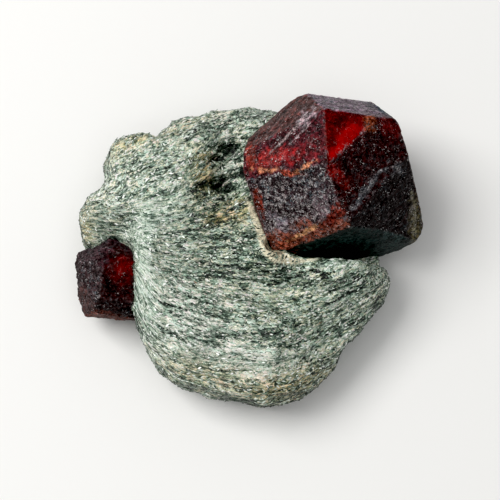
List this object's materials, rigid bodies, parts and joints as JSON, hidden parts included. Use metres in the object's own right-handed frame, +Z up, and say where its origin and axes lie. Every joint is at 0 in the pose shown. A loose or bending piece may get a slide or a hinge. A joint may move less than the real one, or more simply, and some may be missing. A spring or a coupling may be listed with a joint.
{
  "type": "garnet in matrix",
  "caption": "Mica schist hand specimen, flat underneath, with a large faceted garnet crystal standing out of one corner and a small one in its side.",
  "frame": {"origin": "middle of the specimen's bounding box, on the surface that it rests on", "axes": "+Z up out of the resting face, +X towards the large crystal's free side, +Y away from the schist's rounded end"},
  "size_m": [0.0584, 0.0512, 0.0332],
  "materials": {
    "mica_schist": "rough, sparkling with mica",
    "garnet": "vitreous, translucent dark red"
  },
  "bodies": {
    "root": {"schist_matrix": "mica_schist", "large_garnet": "garnet", "small_garnet": "garnet"}
  },
  "joints": []
}
